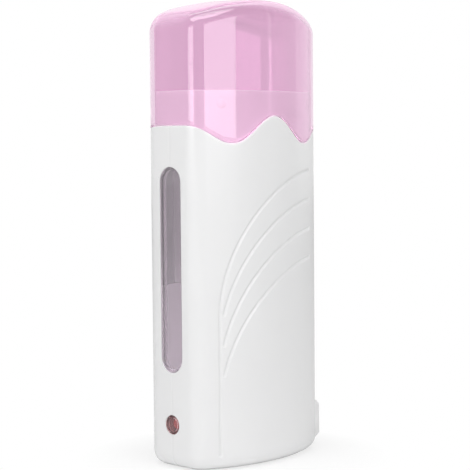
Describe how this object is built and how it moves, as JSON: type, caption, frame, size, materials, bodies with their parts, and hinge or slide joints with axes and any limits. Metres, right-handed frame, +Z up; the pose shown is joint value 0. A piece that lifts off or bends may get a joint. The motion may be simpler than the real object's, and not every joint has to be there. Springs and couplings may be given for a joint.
{
  "type": "roll on wax heater",
  "caption": "Upright handheld warmer for roll-on wax cartridges: white half shells, tinted lift-off cap with a wavy edge, level window and side mains inlet.",
  "frame": {"origin": "centre of the flat face of the base that the heater stands on", "axes": "+Z up along the body towards the cap; +X across the narrow faces, towards the mains inlet, so the level window and the pilot light face -X; +Y through the depth, towards the rear shell"},
  "size_m": [0.0709, 0.044, 0.175],
  "materials": {
    "shell_white": "gloss white moulded plastic",
    "cap_pink": "clear tinted moulded plastic, polished",
    "window_clear": "clear smoky moulded plastic, polished",
    "pilot_clear": "clear moulded plastic, polished",
    "led_red": "diffused red lamp body",
    "board_green": "solder mask",
    "resistor_tan": "painted component",
    "diode_black": "moulded component",
    "sleeve_grey": "heat-resistant moulded plastic",
    "plate_aluminium": "rolled, satin",
    "element_ceramic": "fired ceramic with silvered faces",
    "film_amber": "polyimide film",
    "clip_steel": "spring steel",
    "wire_insulation": "insulated wire",
    "pin_brass": "plated pins",
    "fuse_body": "thermal cut-out case",
    "splice_sleeve": "crimp with shrink sleeve",
    "screw_steel": "zinc-plated steel"
  },
  "bodies": {
    "body": {"front_shell": "shell_white", "rear_shell": "shell_white", "window_lens": "window_clear", "pilot_lens": "pilot_clear", "pilot_led": "led_red", "circuit_board": "board_green", "board_resistor": "resistor_tan", "board_diode": "diode_black", "cartridge_sleeve": "sleeve_grey", "front_heat_plate": "plate_aluminium", "rear_heat_plate": "plate_aluminium", "front_heating_element": "element_ceramic", "rear_heating_element": "element_ceramic", "front_insulating_film": "film_amber", "rear_insulating_film": "film_amber", "front_spring_clip": "clip_steel", "rear_spring_clip": "clip_steel", "front_heater_leads": "wire_insulation", "rear_heater_leads": "wire_insulation", "inlet_insert": "shell_white", "inlet_pins": "pin_brass", "live_lead": "wire_insulation", "neutral_lead": "wire_insulation", "board_leads": "wire_insulation", "thermal_fuse": "fuse_body", "wire_splices": "splice_sleeve", "shell_screws": "screw_steel"},
    "cap": {"cap": "cap_pink"}
  },
  "joints": [
    {"name": "cap_lift", "type": "slide", "parent": "body", "child": "cap", "axis": [0, 0, 1], "range_m": [0, 0.05]}
  ]
}
